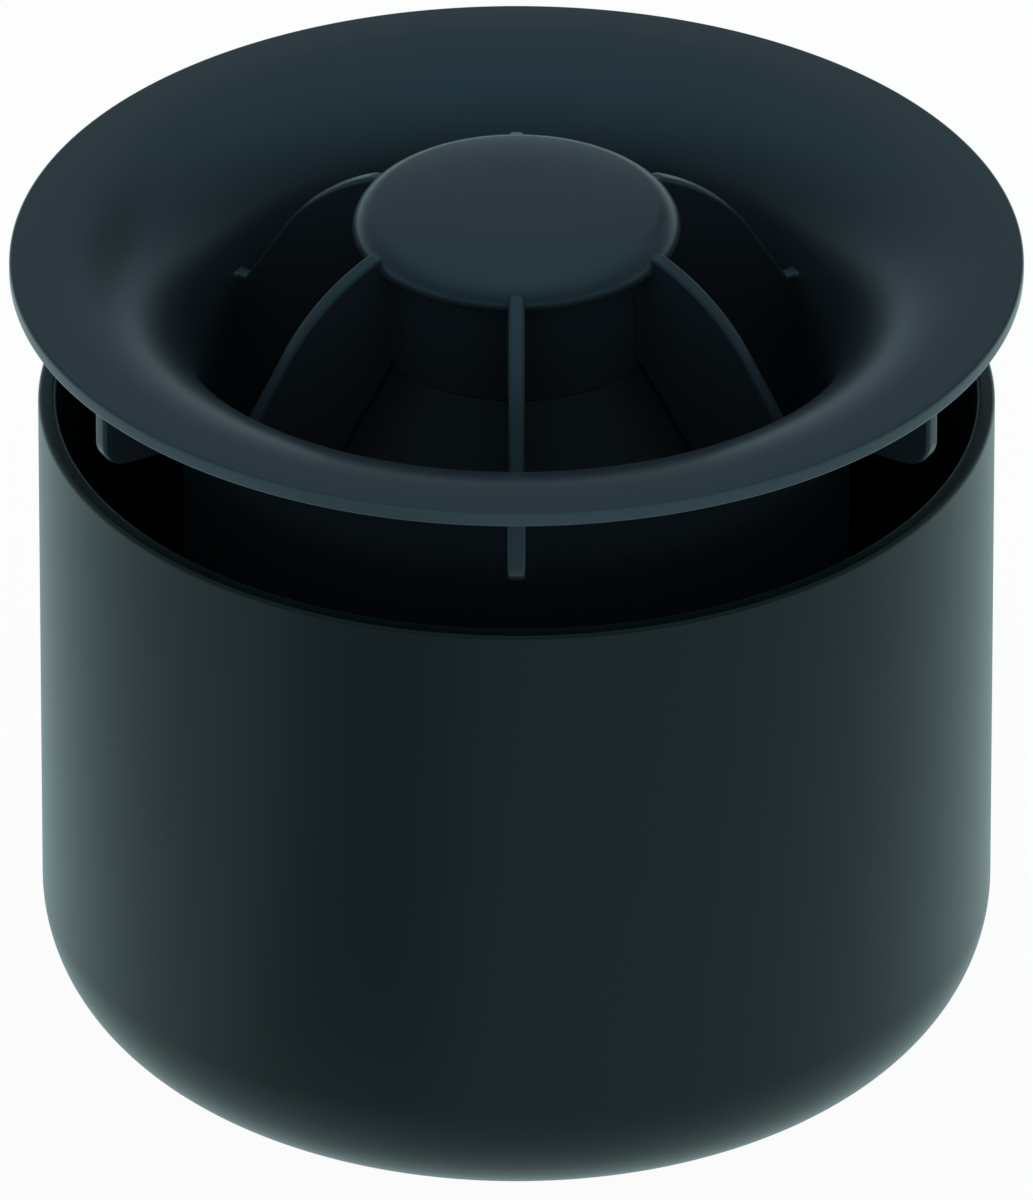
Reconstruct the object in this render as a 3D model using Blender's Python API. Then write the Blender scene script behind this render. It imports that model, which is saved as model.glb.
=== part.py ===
"""Membrane odour trap of a floor drain, a cup with a flanged dip tube standing in it.

Water runs down the funnel, past the ribs, bends the rubber skirt inwards and fills the cup. It leaves over
the cup's rim. The tube reaches below the rim, so standing water seals it, and when that has dried out the
skirt still closes the tube.

Metres, Z up, origin at the centre of the cup's base. The camera side is -Y.
"""

import math

import bmesh
import bpy
from mathutils import Matrix, Vector

MM = 0.001

# Space between two pieces that touch, so that their meshes stay apart
CLEARANCE = 0.3 * MM

# Cup
CUP_RADIUS = 52.0 * MM
CUP_HEIGHT = 74.7 * MM
CUP_WALL = 2.0 * MM
CUP_CORNER = 15.0 * MM
CUP_RIM_ROUND = 0.6 * MM

# Fins in the cup that grip the end of the dip tube
FIN_COUNT = 4
FIN_THICKNESS = 2.0 * MM
FIN_OUTER_GRIP = 16.0 * MM
FIN_INNER_GRIP = 6.0 * MM
FIN_REACH = 4.0 * MM
FIN_LEAD_IN = 1.2 * MM

# Where the dip tube stands in the cup
WATER_SEAL = 50.0 * MM
OUTLET_HEIGHT = 17.8 * MM

# Flange, funnel mouth and dip tube
FLANGE_RADIUS = 55.0 * MM
FLANGE_THICKNESS = 1.8 * MM
FLANGE_EDGE_ROUND = 0.6 * MM
FLANGE_LAND = 4.3 * MM
TUBE_BORE_RADIUS = 34.5 * MM
TUBE_WALL = 1.8 * MM
TUBE_DRAFT = 0.2 * MM
TUBE_END_CHAMFER = 0.3 * MM

# Stiffening ribs under the flange
RIB_COUNT = 6
OUTER_RIB_THICKNESS = 2.0 * MM
OUTER_RIB_SETBACK = 3.5 * MM
OUTER_RIB_DEPTH = 13.0 * MM
OUTER_RIB_CORNER = 3.0 * MM

# Hub in the throat and the ribs that carry it
HUB_RADIUS = 15.8 * MM
HUB_WALL = 1.8 * MM
HUB_DEPTH = 9.0 * MM
HUB_ROOF = 2.0 * MM
DISC_RADIUS = 17.4 * MM
DISC_HEIGHT = 6.3 * MM
DISC_CROWN = 0.3 * MM
DISC_THICKNESS = 1.8 * MM
DISC_EDGE_WIDTH = 2.2 * MM
DISC_EDGE_DROP = 1.5 * MM
INNER_RIB_THICKNESS = 1.8 * MM
INNER_RIB_DROP = 1.0 * MM
INNER_RIB_ARC = 24.3 * MM
INNER_RIB_ARC_OFFSET = 8.4 * MM
INNER_RIB_LANDING = 11.9 * MM

# Rubber membrane
MEMBRANE_SLOPE = math.radians(55.0)
MEMBRANE_THICKNESS = 1.2 * MM
LIP_THICKNESS = 0.8 * MM
LIP_HEIGHT = 3.0 * MM
COLLAR_THICKNESS = 2.0 * MM

# Retainer that snaps into the hub and holds the membrane's collar
HEAD_THICKNESS = 1.8 * MM
HEAD_EDGE_ROUND = 0.5 * MM
SKIRT_WALL = 1.5 * MM
SKIRT_GRIP = 10.0 * MM
BARB_HEIGHT = 0.6 * MM
BARB_LENGTH = 2.0 * MM
BARB_BACK = 1.0 * MM
SLOT_WIDTH = 2.0 * MM
SLOT_COUNT = 4

# Facets of a turned body and of a quarter round
SEGMENTS = 72
EDGE_STEPS = 2
CORNER_STEPS = 6
MOUTH_STEPS = 8
RIB_ARC_STEPS = 7
WELD = 0.001 * MM
SMOOTH_ANGLE = math.radians(35.0)

# Heights above the base and radii that follow from the sizes above
CUP_BORE_RADIUS = CUP_RADIUS - CUP_WALL
TUBE_END = CUP_HEIGHT - WATER_SEAL
FLANGE_TOP = CUP_HEIGHT + OUTLET_HEIGHT
FLANGE_UNDERSIDE = FLANGE_TOP - FLANGE_THICKNESS
TUBE_RADIUS = TUBE_BORE_RADIUS + TUBE_WALL
MOUTH_RADIUS = FLANGE_RADIUS - FLANGE_LAND
MOUTH_DEPTH = MOUTH_RADIUS - TUBE_BORE_RADIUS
MOUTH_BOTTOM = FLANGE_TOP - MOUTH_DEPTH
DISC_TOP = FLANGE_TOP + DISC_HEIGHT
DISC_EDGE_TOP = DISC_TOP - DISC_CROWN
DISC_UNDERSIDE = DISC_EDGE_TOP - DISC_THICKNESS
HUB_END = FLANGE_TOP - HUB_DEPTH
HUB_BORE_RADIUS = HUB_RADIUS - HUB_WALL
COLLAR_TOP = HUB_END - CLEARANCE
COLLAR_UNDERSIDE = COLLAR_TOP - COLLAR_THICKNESS
HEAD_TOP = COLLAR_UNDERSIDE - CLEARANCE
SKIRT_RADIUS = HUB_BORE_RADIUS - CLEARANCE
SKIRT_TOP = HUB_END + SKIRT_GRIP
BARB_TOP = SKIRT_TOP - BARB_BACK
GROOVE_RADIUS = SKIRT_RADIUS + BARB_HEIGHT + CLEARANCE

BLACK_CUP = (0.014, 0.021, 0.023)
BLACK_INSERT = (0.021, 0.034, 0.043)
BLACK_RUBBER = (0.011, 0.014, 0.014)


def arc(centre, radii, start, end, steps):
    """Points on an arc in (radius, height), with angles in degrees counted from outwards towards up."""
    points = []
    for step in range(steps + 1):
        angle = math.radians(start + (end - start) * step / steps)
        across = centre[0] + radii[0] * math.cos(angle)
        height = centre[1] + radii[1] * math.sin(angle)
        points.append((across, height))
    return points


def round_arc(centre, radius, start, end, steps):
    """Points on a circular arc in (radius, height)."""
    return arc(centre, (radius, radius), start, end, steps)


def new_object(name, bm, material=None):
    """Object made from a bmesh, shaded smooth over its round faces."""
    bmesh.ops.recalc_face_normals(bm, faces=bm.faces)
    mesh = bpy.data.meshes.new(name)
    bm.to_mesh(mesh)
    bm.free()
    mesh.shade_smooth()
    mesh.set_sharp_from_angle(angle=SMOOTH_ANGLE)
    if material:
        mesh.materials.append(material)
    obj = bpy.data.objects.new(name, mesh)
    bpy.context.scene.collection.objects.link(obj)
    return obj


def turned(name, outline, material=None):
    """Body of revolution. A facet, not a corner, faces each rib."""
    bm = bmesh.new()
    half_facet = Matrix.Rotation(math.pi / SEGMENTS, 4, "Z")
    points = [bm.verts.new(half_facet @ Vector((radius, 0, height))) for radius, height in outline]
    edges = [bm.edges.new(pair) for pair in zip(points, points[1:])]
    if outline[0][0] > 0 and outline[-1][0] > 0:
        edges.append(bm.edges.new((points[-1], points[0])))
    bmesh.ops.spin(
        bm,
        geom=points + edges,
        cent=(0, 0, 0),
        axis=(0, 0, 1),
        angle=math.tau,
        steps=SEGMENTS,
        use_merge=True,
    )
    bmesh.ops.remove_doubles(bm, verts=bm.verts, dist=WELD)
    return new_object(name, bm, material)


def plate(name, outline, thickness, azimuth):
    """Flat plate on edge in the plane through the Z axis at this azimuth, a helper of a Boolean."""
    bm = bmesh.new()
    turn = Matrix.Rotation(azimuth, 4, "Z")
    near = [bm.verts.new(turn @ Vector((radius, -thickness / 2, height))) for radius, height in outline]
    far = [bm.verts.new(turn @ Vector((radius, thickness / 2, height))) for radius, height in outline]
    bm.faces.new(near)
    bm.faces.new(reversed(far))
    for index, low in enumerate(near):
        bm.faces.new((near[index - 1], far[index - 1], far[index], low))
    bmesh.ops.remove_doubles(bm, verts=bm.verts, dist=WELD)
    return as_helper(new_object(name, bm))


def as_helper(obj):
    """Marks an object that only a Boolean reads."""
    obj.hide_render = True
    obj.display_type = "WIRE"
    return obj


def combine(obj, helpers, operation):
    """Boolean of an object with its helpers, which share a collection of their own."""
    collection = bpy.data.collections.new(f"{obj.name} {operation.lower()} helpers")
    bpy.context.scene.collection.children.link(collection)
    for helper in helpers:
        bpy.context.scene.collection.objects.unlink(helper)
        collection.objects.link(helper)
    modifier = obj.modifiers.new(operation.lower(), "BOOLEAN")
    modifier.operation = operation
    modifier.operand_type = "COLLECTION"
    modifier.collection = collection


def plastic(name, colour, roughness):
    """Moulded material of one colour."""
    material = bpy.data.materials.new(name)
    material.use_nodes = True
    shader = material.node_tree.nodes["Principled BSDF"]
    shader.inputs["Base Color"].default_value = (*colour, 1)
    shader.inputs["Roughness"].default_value = roughness
    shader.inputs["Metallic"].default_value = 0
    return material


def azimuths(count, first):
    """Angles of pieces set evenly round the axis."""
    return [first + math.tau * index / count for index in range(count)]


def cup_fin_outline():
    """Radial fin with a notch for the wall of the dip tube, rooted half-way into the cup's wall and floor."""
    root = CUP_WALL / 2
    corner_centre = (CUP_RADIUS - CUP_CORNER, CUP_CORNER)
    notch_outside = TUBE_RADIUS + CLEARANCE
    notch_inside = TUBE_BORE_RADIUS - CLEARANCE
    notch_floor = TUBE_END - CLEARANCE
    outer_top = TUBE_END + FIN_OUTER_GRIP
    inner_top = TUBE_END + FIN_INNER_GRIP
    inner_edge = notch_inside - FIN_REACH
    corner_radius = CUP_CORNER - root
    past_corner = max(0, inner_edge - corner_centre[0])
    start = -math.degrees(math.acos(past_corner / corner_radius))
    corner = round_arc(corner_centre, corner_radius, start, 0, CORNER_STEPS)
    return [
        (inner_edge, corner[0][1]),
        *corner,
        (CUP_RADIUS - root, outer_top),
        (notch_outside + FIN_LEAD_IN, outer_top),
        (notch_outside, outer_top - FIN_LEAD_IN),
        (notch_outside, notch_floor),
        (notch_inside, notch_floor),
        (notch_inside, inner_top - FIN_LEAD_IN),
        (notch_inside - FIN_LEAD_IN, inner_top),
        (inner_edge, inner_top),
    ]


def make_cup():
    """Open cup with a round bottom corner and fins inside."""
    corner_centre = (CUP_RADIUS - CUP_CORNER, CUP_CORNER)
    rim_height = CUP_HEIGHT - CUP_RIM_ROUND
    outline = [
        (0, CUP_WALL),
        *round_arc(corner_centre, CUP_CORNER - CUP_WALL, -90, 0, CORNER_STEPS),
        *round_arc((CUP_BORE_RADIUS + CUP_RIM_ROUND, rim_height), CUP_RIM_ROUND, 180, 90, EDGE_STEPS),
        *round_arc((CUP_RADIUS - CUP_RIM_ROUND, rim_height), CUP_RIM_ROUND, 90, 0, EDGE_STEPS),
        *round_arc(corner_centre, CUP_CORNER, 0, -90, CORNER_STEPS),
        (0, 0),
    ]
    cup = turned("cup", outline, plastic("black_cup_plastic", BLACK_CUP, 0.38))
    first = math.pi / FIN_COUNT
    fins = [
        plate(f"fin_{number}", cup_fin_outline(), FIN_THICKNESS, azimuth)
        for number, azimuth in enumerate(azimuths(FIN_COUNT, first))
    ]
    combine(cup, fins, "UNION")
    return cup


def mouth_arc(share, bottom=MOUTH_BOTTOM):
    """Funnel curve from a height up to the flange, at a share of its wall, 0 on the wet side."""
    across = MOUTH_DEPTH - share * TUBE_WALL
    height = MOUTH_DEPTH - share * FLANGE_THICKNESS
    rise = max(0, bottom - MOUTH_BOTTOM) / height
    start = 180 - math.degrees(math.asin(rise))
    return arc((MOUTH_RADIUS, MOUTH_BOTTOM), (across, height), start, 90, MOUTH_STEPS)


def wall_radius(height, share):
    """Radius of the funnel and tube wall at a height, at a share of its thickness."""
    if height <= MOUTH_BOTTOM:
        down = (MOUTH_BOTTOM - height) / (MOUTH_BOTTOM - TUBE_END)
        inside = TUBE_BORE_RADIUS + TUBE_DRAFT * down
        outside = TUBE_RADIUS - TUBE_DRAFT * down
        return inside + (outside - inside) * share
    across = MOUTH_DEPTH - share * TUBE_WALL
    rise = min(1, (height - MOUTH_BOTTOM) / (MOUTH_DEPTH - share * FLANGE_THICKNESS))
    return MOUTH_RADIUS - across * math.sqrt(1 - rise**2)


def funnel_outline():
    """Flange, funnel mouth and dip tube in one wall."""
    edge = FLANGE_RADIUS - FLANGE_EDGE_ROUND
    upper_centre = (edge, FLANGE_TOP - FLANGE_EDGE_ROUND)
    lower_centre = (edge, FLANGE_UNDERSIDE + FLANGE_EDGE_ROUND)
    end_inside = wall_radius(TUBE_END, 0)
    end_outside = wall_radius(TUBE_END, 1)
    return [
        *mouth_arc(0),
        *round_arc(upper_centre, FLANGE_EDGE_ROUND, 90, 0, EDGE_STEPS),
        *round_arc(lower_centre, FLANGE_EDGE_ROUND, 0, -90, EDGE_STEPS),
        *reversed(mouth_arc(1)),
        (end_outside, TUBE_END + TUBE_END_CHAMFER),
        (end_outside - TUBE_END_CHAMFER, TUBE_END),
        (end_inside + TUBE_END_CHAMFER, TUBE_END),
        (end_inside, TUBE_END + TUBE_END_CHAMFER),
    ]


def hub_outline():
    """Hollow hub, open below, under a crowned disc with a soft edge. A groove in its bore takes a barb."""
    edge_centre = (DISC_RADIUS - DISC_EDGE_WIDTH, DISC_EDGE_TOP - DISC_EDGE_DROP)
    edge_radii = (DISC_EDGE_WIDTH, DISC_EDGE_DROP)
    groove_top = BARB_TOP + CLEARANCE
    groove_bottom = BARB_TOP - BARB_LENGTH - CLEARANCE
    return [
        (0, DISC_TOP),
        *arc(edge_centre, edge_radii, 90, 0, EDGE_STEPS + 1),
        (DISC_RADIUS, DISC_UNDERSIDE),
        (HUB_RADIUS, DISC_UNDERSIDE),
        (HUB_RADIUS, HUB_END),
        (HUB_BORE_RADIUS, HUB_END),
        (HUB_BORE_RADIUS, groove_bottom),
        (GROOVE_RADIUS, groove_bottom),
        (GROOVE_RADIUS, groove_top),
        (HUB_BORE_RADIUS, groove_top),
        (HUB_BORE_RADIUS, DISC_TOP - HUB_ROOF),
        (0, DISC_TOP - HUB_ROOF),
    ]


def membrane_line(radius, offset):
    """Height of the membrane's upper face at a radius, or of a line parallel to it, offset along its normal."""
    slope = math.tan(MEMBRANE_SLOPE)
    return COLLAR_TOP - (radius - HUB_RADIUS) * slope + offset / math.cos(MEMBRANE_SLOPE)


def inner_rib_outline():
    """Rib from the hub to the funnel wall, with an arched top, a landing at the wall and the membrane under it."""
    root = HUB_RADIUS - HUB_WALL / 2
    top = DISC_TOP - INNER_RIB_DROP
    landing = FLANGE_TOP - INNER_RIB_LANDING
    centre = top - math.sqrt(INNER_RIB_ARC**2 - (DISC_RADIUS - INNER_RIB_ARC_OFFSET) ** 2)
    arch = []
    for step in range(RIB_ARC_STEPS + 1):
        height = top + (landing - top) * step / RIB_ARC_STEPS
        across = INNER_RIB_ARC_OFFSET + math.sqrt(INNER_RIB_ARC**2 - (height - centre) ** 2)
        arch.append((min(across, wall_radius(height, 0.5)), height))
    foot_radius = wall_radius(TUBE_END, 0.5)
    return [
        (root, membrane_line(root, CLEARANCE)),
        (root, top),
        *arch,
        (wall_radius(landing, 0.5), landing),
        (wall_radius(MOUTH_BOTTOM, 0.5), min(MOUTH_BOTTOM, landing)),
        (foot_radius, membrane_line(foot_radius, CLEARANCE)),
    ]


def outer_rib_outline():
    """Rib under the flange, from the tube to a round corner set back from the flange's edge."""
    edge = FLANGE_RADIUS - OUTER_RIB_SETBACK
    bottom = FLANGE_TOP - OUTER_RIB_DEPTH
    corner_centre = (edge - OUTER_RIB_CORNER, bottom + OUTER_RIB_CORNER)
    return [
        (wall_radius(bottom, 0.5), bottom),
        *mouth_arc(0.5, bottom),
        (edge, FLANGE_TOP - FLANGE_THICKNESS / 2),
        *round_arc(corner_centre, OUTER_RIB_CORNER, 0, -90, EDGE_STEPS + 1),
    ]


def make_flanged_dip_tube():
    """One moulding: flange, funnel, dip tube, hub and both rings of ribs."""
    tube = turned(
        "flanged_dip_tube",
        funnel_outline(),
        plastic("black_insert_plastic", BLACK_INSERT, 0.35),
    )
    helpers = [as_helper(turned("hub", hub_outline()))]
    for number, azimuth in enumerate(azimuths(RIB_COUNT, -math.pi / 2)):
        helpers.append(plate(f"inner_rib_{number}", inner_rib_outline(), INNER_RIB_THICKNESS, azimuth))
        helpers.append(plate(f"outer_rib_{number}", outer_rib_outline(), OUTER_RIB_THICKNESS, azimuth))
    combine(tube, helpers, "UNION")
    return tube


def collar_radius():
    """Radius at which the membrane's inner face leaves the underside of its collar."""
    drop = COLLAR_THICKNESS - MEMBRANE_THICKNESS / math.cos(MEMBRANE_SLOPE)
    return HUB_RADIUS + drop / math.tan(MEMBRANE_SLOPE)


def make_membrane():
    """Rubber skirt with a flat collar under the hub and an upright lip along the tube's bore."""
    lip_radius = TUBE_BORE_RADIUS - CLEARANCE
    lip_top = membrane_line(lip_radius, 0)
    lip_inside = lip_radius - LIP_THICKNESS
    outline = [
        (HUB_BORE_RADIUS, COLLAR_TOP),
        (HUB_RADIUS, COLLAR_TOP),
        (lip_radius, lip_top),
        (lip_radius, lip_top - LIP_HEIGHT),
        (lip_inside, lip_top - LIP_HEIGHT),
        (lip_inside, membrane_line(lip_inside, -LIP_THICKNESS)),
        (collar_radius(), COLLAR_UNDERSIDE),
        (HUB_BORE_RADIUS, COLLAR_UNDERSIDE),
    ]
    return turned("membrane", outline, plastic("black_membrane_rubber", BLACK_RUBBER, 0.6))


def make_membrane_retainer():
    """Snap-in plug whose head presses the membrane's collar against the hub."""
    head_radius = collar_radius() - CLEARANCE
    head_underside = HEAD_TOP - HEAD_THICKNESS
    skirt_inside = SKIRT_RADIUS - SKIRT_WALL
    barb_bottom = BARB_TOP - BARB_LENGTH
    round_centre = (head_radius - HEAD_EDGE_ROUND, head_underside + HEAD_EDGE_ROUND)
    outline = [
        (0, HEAD_TOP),
        (skirt_inside, HEAD_TOP),
        (skirt_inside, SKIRT_TOP),
        (SKIRT_RADIUS - BARB_HEIGHT, SKIRT_TOP),
        (SKIRT_RADIUS, BARB_TOP),
        (SKIRT_RADIUS + BARB_HEIGHT, barb_bottom + BARB_HEIGHT),
        (SKIRT_RADIUS, barb_bottom),
        (SKIRT_RADIUS, HEAD_TOP),
        (head_radius, HEAD_TOP),
        *round_arc(round_centre, HEAD_EDGE_ROUND, 0, -90, EDGE_STEPS),
        (0, head_underside),
    ]
    retainer = turned("membrane_retainer", outline, plastic("black_retainer_plastic", BLACK_INSERT, 0.4))
    slot = [
        (0, HUB_END),
        (SKIRT_RADIUS + HUB_WALL, HUB_END),
        (SKIRT_RADIUS + HUB_WALL, SKIRT_TOP + HUB_WALL),
        (0, SKIRT_TOP + HUB_WALL),
    ]
    slots = [
        plate(f"slot_{number}", slot, SLOT_WIDTH, azimuth)
        for number, azimuth in enumerate(azimuths(SLOT_COUNT, 0))
    ]
    combine(retainer, slots, "DIFFERENCE")
    return retainer


def clear_scene():
    """Empties the file that the script runs in."""
    for obj in list(bpy.data.objects):
        bpy.data.objects.remove(obj, do_unlink=True)


def make_trap():
    """All four pieces. What lifts out of the cup hangs on an empty on the trap's axis."""
    make_cup()
    lift_out = bpy.data.objects.new("lift_out", None)
    lift_out.location = (0, 0, TUBE_END)
    bpy.context.scene.collection.objects.link(lift_out)
    for piece in (make_flanged_dip_tube(), make_membrane(), make_membrane_retainer()):
        piece.parent = lift_out
        piece.matrix_parent_inverse = Matrix.Translation((0, 0, -TUBE_END))


clear_scene()
make_trap()
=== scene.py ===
"""Membrane odour trap, dressed for the picture: moulded cup, flanged dip tube, rubber membrane, retainer."""

import math

import bpy
import numpy as np
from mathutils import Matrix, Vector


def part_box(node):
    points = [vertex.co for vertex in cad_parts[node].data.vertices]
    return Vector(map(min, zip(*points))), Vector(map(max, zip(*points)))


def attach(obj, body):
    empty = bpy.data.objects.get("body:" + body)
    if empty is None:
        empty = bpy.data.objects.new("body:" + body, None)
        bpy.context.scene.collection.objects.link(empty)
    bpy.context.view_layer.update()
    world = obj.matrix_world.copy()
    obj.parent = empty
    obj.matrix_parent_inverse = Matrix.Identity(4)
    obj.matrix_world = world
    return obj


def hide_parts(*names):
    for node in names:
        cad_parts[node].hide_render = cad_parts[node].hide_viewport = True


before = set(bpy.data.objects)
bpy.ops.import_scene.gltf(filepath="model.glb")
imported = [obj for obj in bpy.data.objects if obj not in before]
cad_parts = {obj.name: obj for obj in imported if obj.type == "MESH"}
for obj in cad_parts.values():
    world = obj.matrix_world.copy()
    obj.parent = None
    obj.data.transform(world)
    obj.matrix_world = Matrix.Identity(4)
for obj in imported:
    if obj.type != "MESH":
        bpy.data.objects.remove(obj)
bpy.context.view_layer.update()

# Water cup, the outermost piece. Black polypropylene, injection moulded in one shot with its four fins.
# It holds the standing water and hangs from the dip tube, whose end the fins grip.

MM = 0.001
tube_low, tube_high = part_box("flanged_dip_tube")
CUP_RADIUS = 52.0 * MM
CUP_HEIGHT = 75.4 * MM
CUP_WALL = 2.0 * MM
CUP_CORNER = 15.0 * MM
CUP_RIM_ROUND = 0.6 * MM
CUP_TURNS = 256
TUBE_END = tube_low.z
TUBE_BORE = 34.5 * MM
TUBE_WALL = 1.8 * MM
CLEARANCE = 0.3 * MM
FIN_COUNT = 4
FIN_THICKNESS = 2.0 * MM
FIN_OUTER_GRIP = 16.0 * MM
FIN_INNER_GRIP = 6.0 * MM
FIN_REACH = 4.0 * MM
FIN_LEAD_IN = 1.2 * MM
FIN_EDGE = 0.35 * MM
SMOOTH_ANGLE = math.radians(32)


def arc(centre, radii, start, end, count):
    """Round stretch of an outline: centre plus radius times cosine and sine of an evenly swept angle.

    Two radii, across and up, make it a stretch of an ellipse.
    """
    radii = np.broadcast_to(radii, 2)
    angle = np.radians(np.linspace(start, end, count))
    across = centre[0] + radii[0] * np.cos(angle)
    height = centre[1] + radii[1] * np.sin(angle)
    return np.column_stack([across, height])


def as_object(name, points, faces):
    """Object whose mesh holds these points in place, its round faces smooth and its edges sharp."""
    mesh = bpy.data.meshes.new(name)
    mesh.from_pydata(np.asarray(points).reshape(-1, 3).tolist(), [], faces)
    mesh.update()
    mesh.shade_smooth()
    mesh.set_sharp_from_angle(angle=SMOOTH_ANGLE)
    piece = bpy.data.objects.new(name, mesh)
    bpy.context.scene.collection.objects.link(piece)
    return piece


def turned(name, outline, turns):
    """Body of revolution. Point (i, j) is the outline's radius and height j, carried to angle 2 pi i / turns.

    The outline runs with the solid on its left. It is a loop, or a chain whose two ends lie on the axis.
    """
    outline = np.asarray(outline)
    chain = outline[0, 0] < 1e-9
    rings = outline[1:-1] if chain else outline
    count = len(rings)
    angle = 2 * np.pi * np.arange(turns) / turns
    radius, height = rings.T
    across = np.cos(angle)[:, None] * radius
    along = np.sin(angle)[:, None] * radius
    points = np.stack([across, along, np.broadcast_to(height, across.shape)], axis=-1).reshape(-1, 3)
    here = np.arange(turns)[:, None] * count
    there = (np.arange(turns)[:, None] + 1) % turns * count
    low = np.arange(count - 1 if chain else count)
    high = (low + 1) % count
    quads = np.stack([here + low, there + low, there + high, here + high], axis=-1).reshape(-1, 4)
    faces = quads.tolist()
    if chain:
        poles = np.array([(0, 0, outline[0, 1]), (0, 0, outline[-1, 1])])
        first, last = len(points), len(points) + 1
        points = np.vstack([points, poles])
        start, following = here[:, 0], there[:, 0]
        faces += np.stack([np.full(turns, first), following, start], axis=-1).tolist()
        end = count - 1
        faces += np.stack([start + end, following + end, np.full(turns, last)], axis=-1).tolist()
    return as_object(name, points, faces)


def plate(name, outline, thickness, azimuth, edge=0.0):
    """Plate on edge: the outline in the axis plane at this azimuth, moved half a thickness to each side.

    Its sharp edges are rounded by the edge width, if one is given.
    """
    outline = np.asarray(outline)
    count = len(outline)
    out = np.array([math.cos(azimuth), math.sin(azimuth), 0])
    side = np.array([-math.sin(azimuth), math.cos(azimuth), 0])
    middle = outline[:, :1] * out + outline[:, 1:] * np.array([0, 0, 1])
    points = np.vstack([middle + side * thickness / 2, middle - side * thickness / 2])
    low = np.arange(count)
    high = (low + 1) % count
    faces = np.stack([low, high, high + count, low + count], axis=-1).tolist()
    faces += [low[::-1].tolist(), (low + count).tolist()]
    piece = as_object(name, points, faces)
    if edge:
        bevel = piece.modifiers.new("edge", "BEVEL")
        bevel.width = edge
        bevel.segments = 2
        bevel.limit_method = "ANGLE"
    return piece


def moulded(piece, helpers, operation="UNION"):
    """One closed mesh: a piece joined with its helpers or cut by them. The helpers are then removed."""
    group = bpy.data.collections.new(f"{piece.name}_helpers")
    bpy.context.scene.collection.children.link(group)
    for helper in helpers:
        bpy.context.scene.collection.objects.unlink(helper)
        group.objects.link(helper)
    join = piece.modifiers.new("join", "BOOLEAN")
    join.operation = operation
    join.operand_type = "COLLECTION"
    join.collection = group
    join.solver = "MANIFOLD"
    bpy.context.view_layer.update()
    graph = bpy.context.evaluated_depsgraph_get()
    mesh = bpy.data.meshes.new_from_object(piece.evaluated_get(graph), depsgraph=graph)
    piece.modifiers.clear()
    piece.data = mesh
    for helper in helpers:
        bpy.data.objects.remove(helper)
    bpy.data.collections.remove(group)
    mesh.shade_smooth()
    mesh.set_sharp_from_angle(angle=SMOOTH_ANGLE)
    return piece


FLOW_SCALE = 28
FLOW_DETAIL = 3
FLOW_ROUGHNESS = 0.45
FLOW_DISTORTION = 0.6
GRAIN_SCALE = 2600
GRAIN_DETAIL = 2
GRAIN_DEPTH = 0.02 * MM
GRAIN_RANGE = (0.3, 0.7)
GLOSS_SPREAD = 0.015
SHEEN_ROUGHNESS = 0.45


def black_moulding(name, colour, streak, roughness, grain, specular, specular_tint, sheen, sheen_tint):
    """Near-black moulding: base colour and streak mixed by cloudy noise, which is the flow of the melt.

    Fine noise, the eroded grain of the tool, moves the roughness a little up and down and lifts the bump.
    """
    material = bpy.data.materials.new(name)
    material.use_nodes = True
    nodes, links = material.node_tree.nodes, material.node_tree.links
    shader = nodes["Principled BSDF"]
    place = nodes.new("ShaderNodeTexCoord")

    flow = nodes.new("ShaderNodeTexNoise")
    flow.inputs["Scale"].default_value = FLOW_SCALE
    flow.inputs["Detail"].default_value = FLOW_DETAIL
    flow.inputs["Roughness"].default_value = FLOW_ROUGHNESS
    flow.inputs["Distortion"].default_value = FLOW_DISTORTION
    links.new(place.outputs["Object"], flow.inputs["Vector"])
    tone = nodes.new("ShaderNodeMix")
    tone.data_type = "RGBA"
    tone.inputs["A"].default_value = (*colour, 1)
    tone.inputs["B"].default_value = (*streak, 1)
    links.new(flow.outputs["Fac"], tone.inputs["Factor"])
    links.new(tone.outputs["Result"], shader.inputs["Base Color"])

    fine = nodes.new("ShaderNodeTexNoise")
    fine.inputs["Scale"].default_value = GRAIN_SCALE
    fine.inputs["Detail"].default_value = GRAIN_DETAIL
    links.new(place.outputs["Object"], fine.inputs["Vector"])
    gloss = nodes.new("ShaderNodeMapRange")
    gloss.inputs["From Min"].default_value = GRAIN_RANGE[0]
    gloss.inputs["From Max"].default_value = GRAIN_RANGE[1]
    gloss.inputs["To Min"].default_value = roughness - GLOSS_SPREAD
    gloss.inputs["To Max"].default_value = roughness + GLOSS_SPREAD
    links.new(fine.outputs["Fac"], gloss.inputs["Value"])
    links.new(gloss.outputs["Result"], shader.inputs["Roughness"])
    relief = nodes.new("ShaderNodeBump")
    relief.inputs["Strength"].default_value = grain
    relief.inputs["Distance"].default_value = GRAIN_DEPTH
    links.new(fine.outputs["Fac"], relief.inputs["Height"])
    links.new(relief.outputs["Normal"], shader.inputs["Normal"])

    shader.inputs["Specular IOR Level"].default_value = specular
    shader.inputs["Specular Tint"].default_value = (*specular_tint, 1)
    shader.inputs["Sheen Weight"].default_value = sheen
    shader.inputs["Sheen Roughness"].default_value = SHEEN_ROUGHNESS
    shader.inputs["Sheen Tint"].default_value = (*sheen_tint, 1)
    return material


def finish_piece(piece, body, material, node):
    """Gives a piece its material and body, and hides the CAD node that it stands for."""
    piece.data.materials.clear()
    piece.data.materials.append(material)
    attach(piece, body)
    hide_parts(node)


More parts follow.
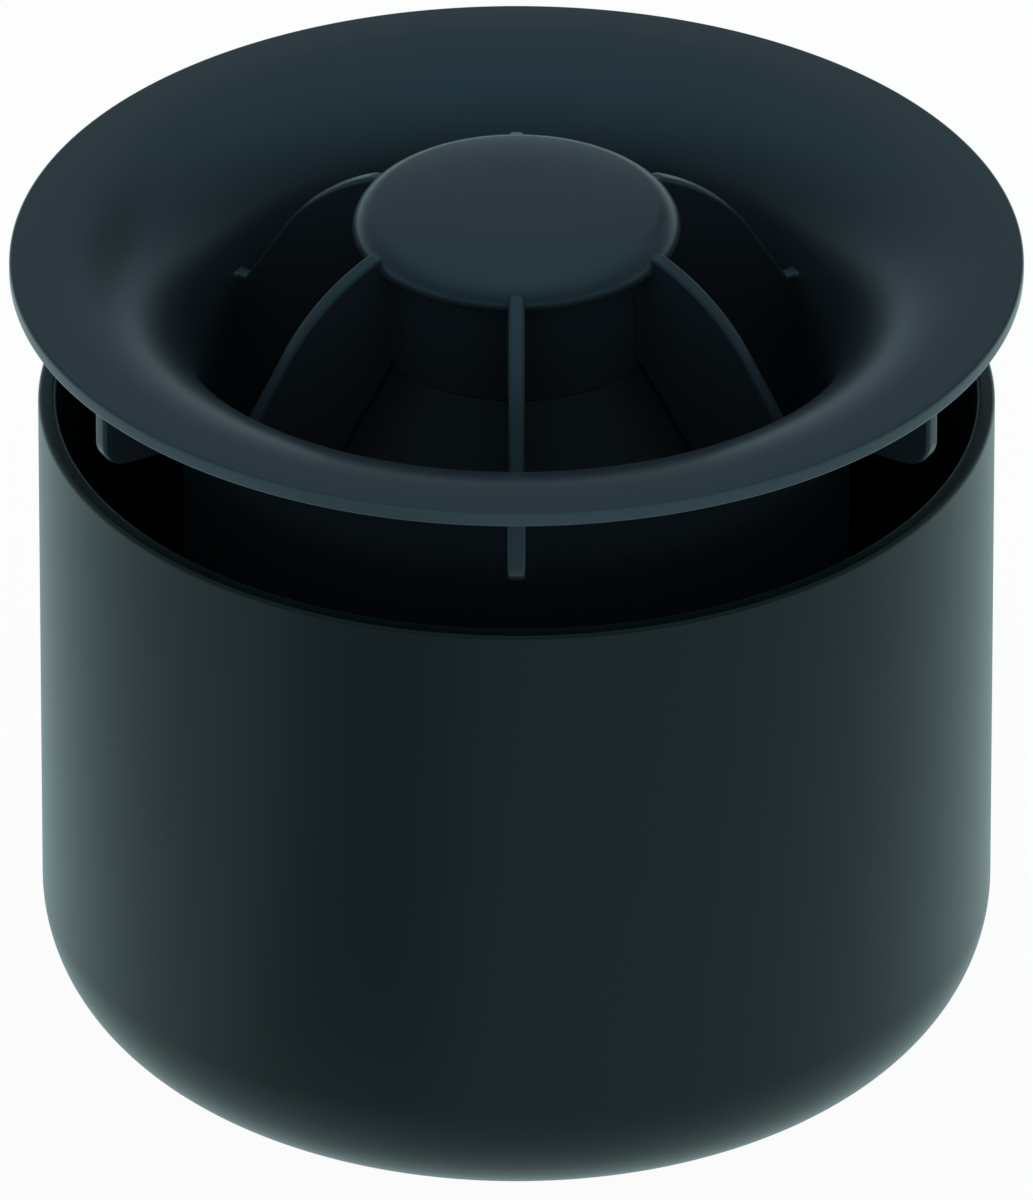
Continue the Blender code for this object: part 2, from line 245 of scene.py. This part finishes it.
corner_centre = (CUP_RADIUS - CUP_CORNER, CUP_CORNER)
cup_bore = CUP_RADIUS - CUP_WALL
rim_centre = CUP_HEIGHT - CUP_RIM_ROUND
cup_outline = np.vstack([
    (0, 0),
    arc(corner_centre, CUP_CORNER, -90, 0, 33),
    arc((CUP_RADIUS - CUP_RIM_ROUND, rim_centre), CUP_RIM_ROUND, 0, 90, 9),
    arc((cup_bore + CUP_RIM_ROUND, rim_centre), CUP_RIM_ROUND, 90, 180, 9),
    arc(corner_centre, CUP_CORNER - CUP_WALL, 0, -90, 25),
    (0, CUP_WALL),
])

fin_root = CUP_WALL / 2
notch_outside = TUBE_BORE + TUBE_WALL + CLEARANCE
notch_inside = TUBE_BORE - CLEARANCE
outer_top = TUBE_END + FIN_OUTER_GRIP
inner_top = TUBE_END + FIN_INNER_GRIP
fin_outline = np.vstack([
    (notch_inside - FIN_REACH, fin_root),
    arc(corner_centre, CUP_CORNER - fin_root, -90, 0, 13),
    (CUP_RADIUS - fin_root, outer_top),
    (notch_outside + FIN_LEAD_IN, outer_top),
    (notch_outside, outer_top - FIN_LEAD_IN),
    (notch_outside, TUBE_END - CLEARANCE),
    (notch_inside, TUBE_END - CLEARANCE),
    (notch_inside, inner_top - FIN_LEAD_IN),
    (notch_inside - FIN_LEAD_IN, inner_top),
    (notch_inside - FIN_REACH, inner_top),
])
fin_angles = np.pi / FIN_COUNT + 2 * np.pi * np.arange(FIN_COUNT) / FIN_COUNT
fins = [plate(f"fin_{n}", fin_outline, FIN_THICKNESS, angle, FIN_EDGE) for n, angle in enumerate(fin_angles)]
cup = moulded(turned("cup_moulding", cup_outline, CUP_TURNS), fins)
cup_black = black_moulding(
    "cup_polypropylene",
    colour=(0.0036, 0.0046, 0.0054),
    streak=(0.0046, 0.0056, 0.0066),
    roughness=0.33,
    grain=0.08,
    specular=0.24,
    specular_tint=(0.65, 0.92, 1.0),
    sheen=0.05,
    sheen_tint=(0.35, 1.0, 1.0),
)
finish_piece(cup, "cup", cup_black, "cup")


# Insert with flange, funnel mouth, dip tube, hub and both rings of ribs. One moulding in a bluer black
# polypropylene than the cup. It hangs in the drain by its flange and its tube dips into the cup's water.

FLANGE_RADIUS = 55.0 * MM
FLANGE_THICKNESS = 1.8 * MM
FLANGE_EDGE = 0.4 * MM
FLANGE_LAND = 4.3 * MM
TUBE_DRAFT = 0.2 * MM
TUBE_END_ROUND = 0.4 * MM
FLANGE_BELOW_TOP = 6.3 * MM
DISC_RADIUS = 17.8 * MM
DISC_HEIGHT = 7.0 * MM
DISC_CROWN = 1.35 * MM
DISC_EDGE_WIDTH = 2.6 * MM
DISC_EDGE_DROP = 2.1 * MM
DISC_LOWER_EDGE = 0.45 * MM
HUB_RADIUS = 15.8 * MM
HUB_WALL = 1.8 * MM
HUB_DEPTH = 9.0 * MM
HUB_ROOF = 2.7 * MM
HUB_FILLET = 0.5 * MM
COLLAR_GAP = 0.1 * MM
GROOVE_DEPTH = 0.6 * MM
GROOVE_HEIGHT = 2.6 * MM
GROOVE_TOP = 9.3 * MM
RIB_COUNT = 6
RIB_ROOT_FILLET = 0.35 * MM
INNER_RIB = 1.8 * MM
INNER_RIB_EDGE = 0.5 * MM
INNER_RIB_DROP = 2.0 * MM
INNER_RIB_ARC = 24.3 * MM
INNER_RIB_ARC_OFFSET = 8.4 * MM
INNER_RIB_STEEPEST = math.radians(58)
INNER_RIB_LANDING = 11.9 * MM
OUTER_RIB = 2.0 * MM
OUTER_RIB_EDGE = 0.4 * MM
OUTER_RIB_SETBACK = 3.1 * MM
OUTER_RIB_DEPTH = 11.4 * MM
OUTER_RIB_CORNER = 3.0 * MM
OUTER_RIB_FOOT = 0.3 * MM
MEMBRANE_SLOPE = math.radians(55)
TUBE_TURNS = 288
HUB_TURNS = 192
# Painted highlight on the flange's outer edge: its inset, width and lighter colour.
RIM_HIGHLIGHT_INSET = 0.2 * MM
RIM_HIGHLIGHT_WIDTH = 0.15 * MM
RIM_HIGHLIGHT_COLOUR = (0.046, 0.060, 0.064)

FLANGE_TOP = tube_high.z - FLANGE_BELOW_TOP
DISC_TOP = FLANGE_TOP + DISC_HEIGHT
HUB_END = FLANGE_TOP - HUB_DEPTH
HUB_BORE = HUB_RADIUS - HUB_WALL
COLLAR_TOP = HUB_END - COLLAR_GAP
TUBE_RADIUS = TUBE_BORE + TUBE_WALL
MOUTH_RADIUS = FLANGE_RADIUS - FLANGE_LAND
MOUTH_DEPTH = MOUTH_RADIUS - TUBE_BORE
MOUTH_BOTTOM = FLANGE_TOP - MOUTH_DEPTH
RIB_ANGLES = -np.pi / 2 + 2 * np.pi * np.arange(RIB_COUNT) / RIB_COUNT


def mouth_curve(share, start, end, count):
    """Quarter round of the funnel at a share of its wall, 0 on the wet side and 1 underneath."""
    radii = (MOUTH_DEPTH - share * TUBE_WALL, MOUTH_DEPTH - share * FLANGE_THICKNESS)
    return arc((MOUTH_RADIUS, MOUTH_BOTTOM), radii, start, end, count)


def root_flare(depth):
    """Half thickness that a rib gains this far from the wall it grows from: a quarter round of fillet."""
    inside = np.clip(RIB_ROOT_FILLET - depth, 0, RIB_ROOT_FILLET)
    return RIB_ROOT_FILLET - np.sqrt(RIB_ROOT_FILLET**2 - inside**2)


def edge_round(depth, radius):
    """Half thickness that a rib loses this far from its free edge: a quarter round of that radius."""
    inside = np.clip(radius - depth, 0, radius)
    return radius - np.sqrt(radius**2 - inside**2)


def rib(name, across, height, half, azimuth):
    """Rib from grids of radius, height and half thickness: two sheets that far from its axis plane.

    A border joins the sheets all round.
    """
    rows, columns = across.shape
    out = np.array([math.cos(azimuth), math.sin(azimuth), 0])
    side = np.array([-math.sin(azimuth), math.cos(azimuth), 0])
    middle = across[..., None] * out + height[..., None] * np.array([0, 0, 1])
    sheets = np.stack([middle + half[..., None] * side, middle - half[..., None] * side])
    index = np.arange(2 * rows * columns).reshape(2, rows, columns)
    quads = np.stack([index[:, :-1, :-1], index[:, :-1, 1:], index[:, 1:, 1:], index[:, 1:, :-1]], axis=-1)
    faces = quads[0][..., ::-1].reshape(-1, 4).tolist() + quads[1].reshape(-1, 4).tolist()
    rim = [index[:, 0, :-1], index[:, :-1, -1], index[:, -1, :0:-1], index[:, :0:-1, 0]]
    loop = np.concatenate(rim, axis=1)
    following = np.roll(loop, -1, axis=1)
    faces += np.stack([loop[0], following[0], following[1], loop[1]], axis=-1).tolist()
    return as_object(name, sheets, faces)


def painted_rim_highlight(material, radius, width, colour):
    """Mixes a lighter colour into a moulding past a radius from the axis: a painted highlight on its outer
    edge.

    The share rises smoothly from none to all over the width. Distance is that from the upright axis.
    """
    nodes, links = material.node_tree.nodes, material.node_tree.links
    socket = nodes["Principled BSDF"].inputs["Base Color"]
    under = socket.links[0].from_socket
    place = nodes.new("ShaderNodeTexCoord")
    flat = nodes.new("ShaderNodeVectorMath")
    flat.operation = "MULTIPLY"
    flat.inputs[1].default_value = (1, 1, 0)
    links.new(place.outputs["Object"], flat.inputs[0])
    length = nodes.new("ShaderNodeVectorMath")
    length.operation = "LENGTH"
    links.new(flat.outputs["Vector"], length.inputs[0])
    share = nodes.new("ShaderNodeMapRange")
    share.interpolation_type = "SMOOTHSTEP"
    share.inputs["From Min"].default_value = radius
    share.inputs["From Max"].default_value = radius + width
    links.new(length.outputs["Value"], share.inputs["Value"])
    tone = nodes.new("ShaderNodeMix")
    tone.data_type = "RGBA"
    tone.inputs["B"].default_value = (*colour, 1)
    links.new(share.outputs["Result"], tone.inputs["Factor"])
    links.new(under, tone.inputs["A"])
    links.new(tone.outputs["Result"], socket)


edge_centre = FLANGE_RADIUS - FLANGE_EDGE
flange_underside = FLANGE_TOP - FLANGE_THICKNESS
end_bore = TUBE_BORE + TUBE_DRAFT
end_radius = TUBE_RADIUS - TUBE_DRAFT
funnel_outline = np.vstack([
    mouth_curve(1, 180, 90, 33),
    arc((edge_centre, flange_underside + FLANGE_EDGE), FLANGE_EDGE, -90, 0, 9),
    arc((edge_centre, FLANGE_TOP - FLANGE_EDGE), FLANGE_EDGE, 0, 90, 9),
    mouth_curve(0, 90, 180, 41),
    arc((end_bore + TUBE_END_ROUND, TUBE_END + TUBE_END_ROUND), TUBE_END_ROUND, 180, 270, 6),
    arc((end_radius - TUBE_END_ROUND, TUBE_END + TUBE_END_ROUND), TUBE_END_ROUND, 270, 360, 6),
])

# The disc's top falls by the crown times its radius share cubed, and by a quarter ellipse at its soft edge.
disc_level = DISC_TOP - DISC_CROWN - DISC_EDGE_DROP
disc_underside = disc_level - DISC_LOWER_EDGE
disc_lower_centre = (DISC_RADIUS - DISC_LOWER_EDGE, disc_level)
edge_share = np.sin(np.linspace(np.pi / 2, 0, 24))[1:]
disc_across = np.concatenate([
    DISC_RADIUS - DISC_EDGE_WIDTH * (1 - edge_share),
    np.linspace(DISC_RADIUS - DISC_EDGE_WIDTH, 0, 14)[1:-1],
])
past_edge = np.maximum(disc_across - DISC_RADIUS + DISC_EDGE_WIDTH, 0) / DISC_EDGE_WIDTH
crown_height = DISC_TOP - DISC_CROWN * (disc_across / DISC_RADIUS) ** 3
disc_face = np.column_stack([disc_across, crown_height - DISC_EDGE_DROP * (1 - np.sqrt(1 - past_edge**2))])
fillet_centre = (HUB_RADIUS + HUB_FILLET, disc_underside - HUB_FILLET)
groove_top = HUB_END + GROOVE_TOP
hub_outline = np.vstack([
    (0, DISC_TOP - HUB_ROOF),
    (HUB_BORE, DISC_TOP - HUB_ROOF),
    (HUB_BORE, groove_top),
    (HUB_BORE + GROOVE_DEPTH, groove_top),
    (HUB_BORE + GROOVE_DEPTH, groove_top - GROOVE_HEIGHT),
    (HUB_BORE, groove_top - GROOVE_HEIGHT),
    (HUB_BORE, HUB_END),
    (HUB_RADIUS, HUB_END),
    arc(fillet_centre, HUB_FILLET, 180, 90, 6),
    arc(disc_lower_centre, DISC_LOWER_EDGE, -90, 0, 7),
    disc_face,
    (0, DISC_TOP),
])

# Throat ribs: radius from the hub's wall to the tube's wall, height from the membrane up to the crest. The
# crest follows an arc centred off the axis, goes on straight at its steepest, and ends in a level landing.
root_in, root_out = HUB_RADIUS - HUB_WALL / 2, TUBE_BORE + TUBE_WALL / 2
slope = math.tan(MEMBRANE_SLOPE)
lean = math.cos(MEMBRANE_SLOPE)
crest_top = DISC_TOP - INNER_RIB_DROP
landing = FLANGE_TOP - INNER_RIB_LANDING
crest_centre = crest_top - math.sqrt(INNER_RIB_ARC**2 - (DISC_RADIUS - INNER_RIB_ARC_OFFSET) ** 2)
crest_from = math.asin((HUB_RADIUS + 2 * RIB_ROOT_FILLET - INNER_RIB_ARC_OFFSET) / INNER_RIB_ARC)
crest = INNER_RIB_ARC_OFFSET + INNER_RIB_ARC * np.sin(np.linspace(crest_from, INNER_RIB_STEEPEST, 32))
crest_low = crest_centre + INNER_RIB_ARC * math.cos(INNER_RIB_STEEPEST)
crest_end = crest[-1] + (crest_low - landing) / math.tan(INNER_RIB_STEEPEST)
radius = np.concatenate([
    np.linspace(root_in, crest[0], 12)[:-1],
    crest[:-1],
    np.linspace(crest[-1], crest_end, 12)[:-1],
    np.linspace(crest_end, root_out, 22),
])
lower = COLLAR_TOP - (radius - HUB_RADIUS) * slope + CLEARANCE / lean
from_centre = np.clip(radius, DISC_RADIUS, crest[-1]) - INNER_RIB_ARC_OFFSET
upper = crest_centre + np.sqrt(INNER_RIB_ARC**2 - from_centre**2)
past_arc = np.clip(radius - crest[-1], 0, crest_end - crest[-1])
upper -= past_arc * math.tan(INNER_RIB_STEEPEST)
steep = np.gradient(upper, radius)
shares = ((1 - np.cos(np.linspace(0, np.pi, 40))) / 2)[:, None]
across = np.broadcast_to(radius, (len(shares), len(radius)))
height = lower + (upper - lower) * shares
wall_at = np.where(
    height > MOUTH_BOTTOM,
    MOUTH_RADIUS - np.sqrt(np.maximum(MOUTH_DEPTH**2 - (height - MOUTH_BOTTOM) ** 2, 0)),
    TUBE_BORE,
)
to_top = (upper - height) / np.sqrt(1 + steep**2)
to_bottom = (height - lower) * lean
half = (
    INNER_RIB / 2
    + np.maximum(root_flare(wall_at - across), root_flare(across - HUB_RADIUS))
    - np.maximum(edge_round(to_top, INNER_RIB_EDGE), edge_round(to_bottom, INNER_RIB_EDGE))
)
ribs = [rib(f"throat_rib_{n}", across, height, half, angle) for n, angle in enumerate(RIB_ANGLES)]

# Flange ribs: radius from the funnel's wall to the set-back edge, height from the round corner to the flange.
# Their columns are even at first and crowd towards the rounded edge.
rib_edge = FLANGE_RADIUS - OUTER_RIB_SETBACK
rib_bottom = FLANGE_TOP - OUTER_RIB_DEPTH
corner_across, corner_height = rib_edge - OUTER_RIB_CORNER, rib_bottom + OUTER_RIB_CORNER
middle_across = MOUTH_DEPTH - TUBE_WALL / 2
middle_height = MOUTH_DEPTH - FLANGE_THICKNESS / 2
foot_rise = (rib_bottom + OUTER_RIB_FOOT - MOUTH_BOTTOM) / middle_height
foot = MOUTH_RADIUS - middle_across * math.sqrt(1 - foot_rise**2)
even_share, crowded_share = 0.72, 0.28
radius = foot + (rib_edge - foot) * np.concatenate([
    np.linspace(0, even_share, 22)[:-1],
    even_share + crowded_share * np.sin(np.linspace(0, np.pi / 2, 22)),
])
past_corner = np.clip(radius - corner_across, 0, OUTER_RIB_CORNER)
lower = corner_height - np.sqrt(OUTER_RIB_CORNER**2 - past_corner**2)
reach = np.minimum(radius - MOUTH_RADIUS, 0) / middle_across
upper = MOUTH_BOTTOM + middle_height * np.sqrt(1 - reach**2)
across = np.broadcast_to(radius, (len(shares), len(radius)))
height = lower + (upper - lower) * shares
underside = MOUTH_DEPTH - (TUBE_WALL + FLANGE_THICKNESS) / 2
to_wall = np.where(
    across < MOUTH_RADIUS,
    underside - np.hypot(across - MOUTH_RADIUS, height - MOUTH_BOTTOM),
    flange_underside - height,
)
in_corner = (across > corner_across) & (height < corner_height)
to_edge = np.where(
    in_corner,
    OUTER_RIB_CORNER - np.hypot(across - corner_across, height - corner_height),
    np.minimum(rib_edge - across, height - rib_bottom),
)
half = OUTER_RIB / 2 + root_flare(to_wall) - edge_round(to_edge, OUTER_RIB_EDGE)
ribs += [rib(f"flange_rib_{n}", across, height, half, angle) for n, angle in enumerate(RIB_ANGLES)]

hub = turned("hub", hub_outline, HUB_TURNS)
insert = moulded(turned("dip_tube_moulding", funnel_outline, TUBE_TURNS), [hub, *ribs])
insert_black = black_moulding(
    "insert_polypropylene",
    colour=(0.0155, 0.0192, 0.0232),
    streak=(0.0180, 0.0218, 0.0262),
    roughness=0.30,
    grain=0.05,
    specular=0.315,
    specular_tint=(0.48, 0.8, 1.0),
    sheen=0.02,
    sheen_tint=(0.5, 0.8, 1.0),
)
# Painted highlight: a lighter colour on the flange's rounded outer edge, in place of the light that edge
# would catch.
painted_rim_highlight(insert_black, FLANGE_RADIUS - RIM_HIGHLIGHT_INSET, RIM_HIGHLIGHT_WIDTH, RIM_HIGHLIGHT_COLOUR)
finish_piece(insert, "insert", insert_black, "flanged_dip_tube")


# Rubber membrane under the hub. A moulded umbrella, soft and matt: a flat collar that the retainer presses
# to the hub, a cone that water bends inwards, and a thin upright lip that lies along the tube's bore.

MEMBRANE_THICKNESS = 1.2 * MM
LIP_THICKNESS = 0.8 * MM
LIP_HEIGHT = 3.0 * MM
COLLAR_THICKNESS = 2.0 * MM
LIP_ROUND = 0.3 * MM
MEMBRANE_TURNS = 240

lip_radius = TUBE_BORE - CLEARANCE
lip_inside = lip_radius - LIP_THICKNESS
lip_top = COLLAR_TOP - (lip_radius - HUB_RADIUS) * slope
lip_bottom = lip_top - LIP_HEIGHT
lip_inside_top = COLLAR_TOP - (lip_inside - HUB_RADIUS) * slope - LIP_THICKNESS / lean
collar_underside = COLLAR_TOP - COLLAR_THICKNESS
collar_radius = HUB_RADIUS + (COLLAR_THICKNESS - MEMBRANE_THICKNESS / lean) / slope
down_share = np.linspace(0, 1, 24)[:, None]
outer_face = (HUB_RADIUS, COLLAR_TOP) + down_share * (lip_radius - HUB_RADIUS, lip_top - COLLAR_TOP)
inner_face = (collar_radius, collar_underside) + down_share * (
    lip_inside - collar_radius,
    lip_inside_top - collar_underside,
)
membrane_outline = np.vstack([
    (HUB_BORE, COLLAR_TOP),
    (HUB_BORE, collar_underside),
    inner_face,
    arc((lip_inside + LIP_ROUND, lip_bottom + LIP_ROUND), LIP_ROUND, 180, 270, 5),
    arc((lip_radius - LIP_ROUND, lip_bottom + LIP_ROUND), LIP_ROUND, 270, 360, 5),
    outer_face[::-1],
])
membrane = turned("membrane_rubber", membrane_outline, MEMBRANE_TURNS)
rubber_black = black_moulding(
    "membrane_rubber",
    colour=(0.0082, 0.0082, 0.0095),
    streak=(0.0098, 0.0098, 0.0114),
    roughness=0.6,
    grain=0.4,
    specular=0.1,
    specular_tint=(0.6, 1.0, 1.0),
    sheen=0.02,
    sheen_tint=(0.6, 1.0, 1.0),
)
finish_piece(membrane, "insert", rubber_black, "membrane")


# Retainer, a moulded plug pushed into the hub from below. Its head presses the membrane's collar up, and
# four slots let its skirt spring so that the barb snaps into the groove in the hub.

HEAD_THICKNESS = 1.8 * MM
HEAD_EDGE = 0.5 * MM
SKIRT_WALL = 1.5 * MM
SKIRT_GRIP = 10.0 * MM
BARB_HEIGHT = 0.6 * MM
BARB_LENGTH = 2.0 * MM
BARB_BACK = 1.0 * MM
SLOT_WIDTH = 2.0 * MM
SLOT_COUNT = 4
RETAINER_TURNS = 144

head_top = collar_underside - CLEARANCE
head_underside = head_top - HEAD_THICKNESS
head_radius = collar_radius - CLEARANCE
skirt_radius = HUB_BORE - CLEARANCE
skirt_top = HUB_END + SKIRT_GRIP
barb_top = skirt_top - BARB_BACK
barb_bottom = barb_top - BARB_LENGTH
head_centre = (head_radius - HEAD_EDGE, head_underside + HEAD_EDGE)
retainer_outline = np.vstack([
    (0, head_underside),
    arc(head_centre, HEAD_EDGE, -90, 0, 7),
    (head_radius, head_top),
    (skirt_radius, head_top),
    (skirt_radius, barb_bottom),
    (skirt_radius + BARB_HEIGHT, barb_bottom + BARB_HEIGHT),
    (skirt_radius, barb_top),
    (skirt_radius - BARB_HEIGHT, skirt_top),
    (skirt_radius - SKIRT_WALL, skirt_top),
    (skirt_radius - SKIRT_WALL, head_top),
    (0, head_top),
])
slot_reach, slot_top = HUB_RADIUS, skirt_top + HUB_WALL
slot_outline = [(0, HUB_END), (slot_reach, HUB_END), (slot_reach, slot_top), (0, slot_top)]
slot_angles = 2 * np.pi * np.arange(SLOT_COUNT) / SLOT_COUNT
slots = [plate(f"slot_{n}", slot_outline, SLOT_WIDTH, angle) for n, angle in enumerate(slot_angles)]
retainer = moulded(turned("retainer_moulding", retainer_outline, RETAINER_TURNS), slots, "DIFFERENCE")
finish_piece(retainer, "insert", insert_black, "membrane_retainer")


# Floor and light. A white studio floor and a soft white surround, as for a catalogue picture. The floor
# lies just under the cup's base, and what the glossy black mirrors of both is cooler than they look.

FLOOR_HALF = 6.0
FLOOR_DROP = 0.05 * MM
FLOOR_PAINT = (0.8, 0.8, 0.8)
FLOOR_GLOW = 0.96
REFLECTED_WHITE = (0.76, 1.0, 1.0)
# Painted shadow on the floor, seen only in reflections: a darker sector towards the front left.
SECTOR_AZIMUTH = math.radians(29)
SECTOR_HALF_WIDTH = math.radians(25)
SECTOR_LEVEL = 0.56
SECTOR_FROM = 60 * MM
SECTOR_FULL = 90 * MM
SKY_COLOUR = (0.71, 0.96, 1.04)
SKY_BASE = 0.28
SKY_OVERHEAD = 0.95
SKY_OVERHEAD_POWER = 3
SKY_HORIZON = 0.85
SKY_HORIZON_POWER = 6
DUSK_AZIMUTH = math.radians(25)
DUSK_ELEVATION = math.radians(25)
DUSK_HALF_WIDTH = math.radians(13)
DUSK_DEPTH = 0.84

floor = as_object(
    "studio_floor",
    [(-FLOOR_HALF, -FLOOR_HALF, -FLOOR_DROP), (FLOOR_HALF, -FLOOR_HALF, -FLOOR_DROP),
     (FLOOR_HALF, FLOOR_HALF, -FLOOR_DROP), (-FLOOR_HALF, FLOOR_HALF, -FLOOR_DROP)],
    [(0, 1, 2, 3)],
)


def floor_material():
    """White floor. Camera and reflected rays see it mostly as plain white, with a faint shadow.

    In reflections it is a little cooler, and darker in a soft sector towards the front left: a painted shadow
    that only reflections show.
    """
    material = bpy.data.materials.new("floor_white")
    material.use_nodes = True
    nodes, links = material.node_tree.nodes, material.node_tree.links
    nodes.clear()
    output = nodes.new("ShaderNodeOutputMaterial")
    paint = nodes.new("ShaderNodeBsdfDiffuse")
    paint.inputs["Color"].default_value = (*FLOOR_PAINT, 1)

    place = nodes.new("ShaderNodeTexCoord")
    away = nodes.new("ShaderNodeVectorMath")
    away.operation = "NORMALIZE"
    links.new(place.outputs["Object"], away.inputs[0])
    toward = nodes.new("ShaderNodeVectorMath")
    toward.operation = "DOT_PRODUCT"
    toward.inputs[1].default_value = (-math.sin(SECTOR_AZIMUTH), -math.cos(SECTOR_AZIMUTH), 0)
    links.new(away.outputs["Vector"], toward.inputs[0])
    sector = nodes.new("ShaderNodeMapRange")
    sector.interpolation_type = "SMOOTHSTEP"
    sector.inputs["From Min"].default_value = math.cos(SECTOR_HALF_WIDTH)
    links.new(toward.outputs["Value"], sector.inputs["Value"])
    length = nodes.new("ShaderNodeVectorMath")
    length.operation = "LENGTH"
    links.new(place.outputs["Object"], length.inputs[0])
    fade = nodes.new("ShaderNodeMapRange")
    fade.interpolation_type = "SMOOTHSTEP"
    fade.inputs["From Min"].default_value = SECTOR_FROM
    fade.inputs["From Max"].default_value = SECTOR_FULL
    fade.inputs["To Max"].default_value = SECTOR_LEVEL - 1
    links.new(length.outputs["Value"], fade.inputs["Value"])
    shade = nodes.new("ShaderNodeMath")
    shade.operation = "MULTIPLY_ADD"
    shade.inputs[2].default_value = 1
    links.new(sector.outputs["Result"], shade.inputs[0])
    links.new(fade.outputs["Result"], shade.inputs[1])
    cooler = nodes.new("ShaderNodeVectorMath")
    cooler.operation = "SCALE"
    cooler.inputs[0].default_value = REFLECTED_WHITE
    links.new(shade.outputs["Value"], cooler.inputs["Scale"])

    path = nodes.new("ShaderNodeLightPath")
    colour = nodes.new("ShaderNodeMix")
    colour.data_type = "RGBA"
    colour.inputs["A"].default_value = (1, 1, 1, 1)
    links.new(path.outputs["Is Glossy Ray"], colour.inputs["Factor"])
    links.new(cooler.outputs["Vector"], colour.inputs["B"])
    white = nodes.new("ShaderNodeEmission")
    links.new(colour.outputs["Result"], white.inputs["Color"])
    seen = nodes.new("ShaderNodeMath")
    seen.operation = "MAXIMUM"
    links.new(path.outputs["Is Camera Ray"], seen.inputs[0])
    links.new(path.outputs["Is Glossy Ray"], seen.inputs[1])
    through = nodes.new("ShaderNodeMath")
    through.operation = "MAXIMUM"
    links.new(seen.outputs[0], through.inputs[0])
    links.new(path.outputs["Is Transmission Ray"], through.inputs[1])
    share = nodes.new("ShaderNodeMath")
    share.operation = "MULTIPLY"
    share.inputs[1].default_value = FLOOR_GLOW
    links.new(through.outputs[0], share.inputs[0])
    blend = nodes.new("ShaderNodeMixShader")
    links.new(share.outputs[0], blend.inputs["Fac"])
    links.new(paint.outputs["BSDF"], blend.inputs[1])
    links.new(white.outputs["Emission"], blend.inputs[2])
    links.new(blend.outputs["Shader"], output.inputs["Surface"])
    return material


def studio_world():
    """Soft surround: base level, plus a power of height overhead, plus a power of one minus height low down.

    A small soft patch behind on the right is darker, which the funnel's left side mirrors.
    """
    world = bpy.data.worlds.new("studio")
    world.use_nodes = True
    nodes, links = world.node_tree.nodes, world.node_tree.links
    sky = nodes["Background"]
    place = nodes.new("ShaderNodeTexCoord")
    split = nodes.new("ShaderNodeSeparateXYZ")
    links.new(place.outputs["Generated"], split.inputs[0])

    def step(operation, first, second, third=None, clamp=False):
        """One sum in nodes: a number is set on its socket, a socket is linked to it."""
        node = nodes.new("ShaderNodeMath")
        node.operation = operation
        node.use_clamp = clamp
        for socket, value in zip(node.inputs, (first, second, third)):
            if isinstance(value, (int, float)):
                socket.default_value = value
            elif value is not None:
                links.new(value, socket)
        return node.outputs[0]

    up = step("ADD", split.outputs["Z"], 0, clamp=True)
    overhead = step("MULTIPLY_ADD", step("POWER", up, SKY_OVERHEAD_POWER), SKY_OVERHEAD, SKY_BASE)
    down = step("SUBTRACT", 1, up)
    level = step("MULTIPLY_ADD", step("POWER", down, SKY_HORIZON_POWER), SKY_HORIZON, overhead)
    toward = nodes.new("ShaderNodeVectorMath")
    toward.operation = "DOT_PRODUCT"
    toward.inputs[1].default_value = (
        math.cos(DUSK_ELEVATION) * math.sin(DUSK_AZIMUTH),
        math.cos(DUSK_ELEVATION) * math.cos(DUSK_AZIMUTH),
        math.sin(DUSK_ELEVATION),
    )
    links.new(place.outputs["Generated"], toward.inputs[0])
    dusk = nodes.new("ShaderNodeMapRange")
    dusk.interpolation_type = "SMOOTHSTEP"
    dusk.inputs["From Min"].default_value = math.cos(DUSK_HALF_WIDTH)
    dusk.inputs["To Min"].default_value = 1
    dusk.inputs["To Max"].default_value = 1 - DUSK_DEPTH
    links.new(toward.outputs["Value"], dusk.inputs["Value"])
    links.new(step("MULTIPLY", level, dusk.outputs["Result"]), sky.inputs["Strength"])
    sky.inputs["Color"].default_value = (*SKY_COLOUR, 1)
    return world


floor.data.materials.append(floor_material())
bpy.context.scene.world = studio_world()


# Camera, in front and above. It stands far off with a long lens, so that the view is nearly parallel, as
# the picture's is.

CAMERA_DISTANCE = 3.2
CAMERA_ELEVATION = math.radians(30.755)
CAMERA_LENS = 879.6
CAMERA_SENSOR = 36
AIM_BELOW_FLANGE = 43.48 * MM

eye = bpy.data.cameras.new("camera")
eye.sensor_width = CAMERA_SENSOR
eye.lens = CAMERA_LENS
eye.clip_end = 50
camera = bpy.data.objects.new("camera", eye)
bpy.context.scene.collection.objects.link(camera)
back = np.array([0, -math.cos(CAMERA_ELEVATION), math.sin(CAMERA_ELEVATION)])
camera.location = back * CAMERA_DISTANCE + (0, 0, FLANGE_TOP - AIM_BELOW_FLANGE)
camera.rotation_euler = (math.pi / 2 - CAMERA_ELEVATION, 0, 0)
bpy.context.scene.camera = camera
bpy.context.scene.view_settings.view_transform = "Standard"
